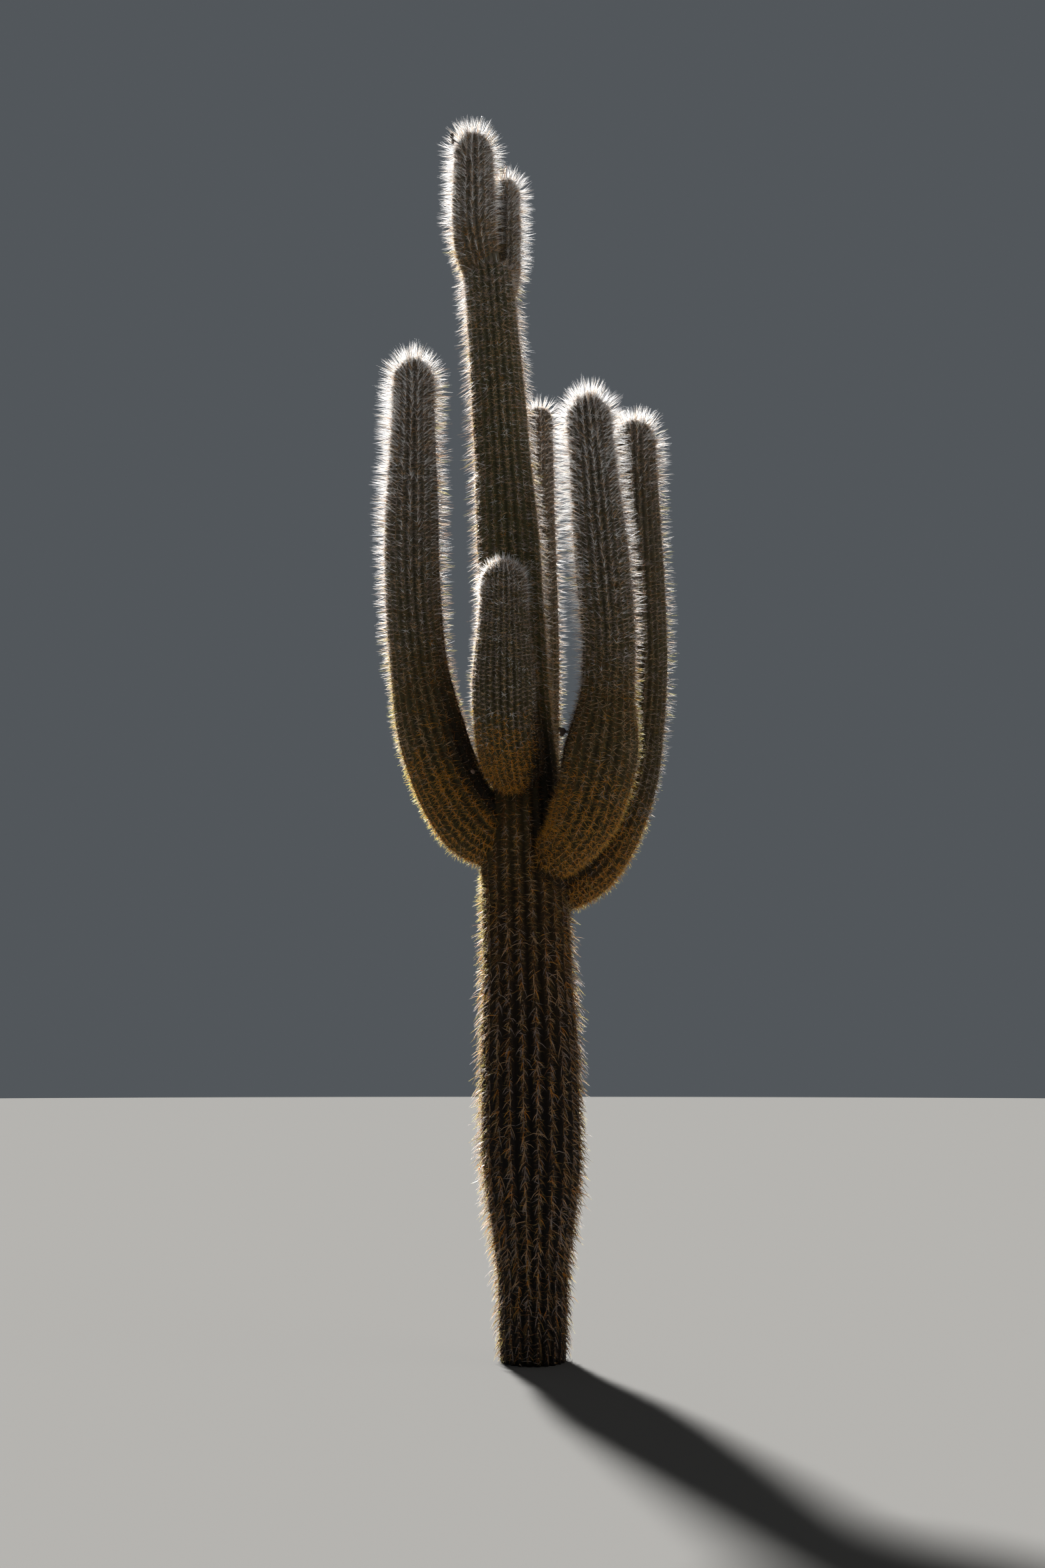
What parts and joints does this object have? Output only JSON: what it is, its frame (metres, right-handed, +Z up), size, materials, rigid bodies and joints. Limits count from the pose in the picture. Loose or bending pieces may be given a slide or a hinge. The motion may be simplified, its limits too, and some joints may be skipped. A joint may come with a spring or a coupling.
{
  "type": "columnar cactus",
  "caption": "Tall ribbed columnar cactus: a leaning trunk, arms that bend up beside it, heads on its tip, and spines all over.",
  "frame": {"origin": "middle of the flat cut under the trunk at ground level", "axes": "+Z up along the foot of the trunk, -Y towards the side with the short front arm, +X towards the side with two tall arms"},
  "size_m": [1.9014, 1.5533, 7.6821],
  "materials": {
    "trunk_skin": "dull olive-brown skin, corky near the ground",
    "elbow_skin": "dull olive skin",
    "arm_skin": "satin grey-green skin",
    "head_skin": "satin pale green skin",
    "spines_white": "hard, slightly glossy, bone white",
    "spines_straw": "hard, slightly glossy, straw",
    "spines_amber": "hard, slightly glossy, amber",
    "spines_grey": "hard, weathered, grey-brown",
    "withered": "dry, dark brown"
  },
  "bodies": {
    "root": {"trunk": "trunk_skin", "left_arm_elbow": "elbow_skin", "left_arm": "arm_skin", "front_arm": "arm_skin", "near_right_arm_elbow": "elbow_skin", "near_right_arm": "arm_skin", "far_right_arm_elbow": "elbow_skin", "far_right_arm": "arm_skin", "back_arm_elbow": "elbow_skin", "back_arm": "arm_skin", "main_head": "head_skin", "side_head": "head_skin"}
  },
  "joints": []
}
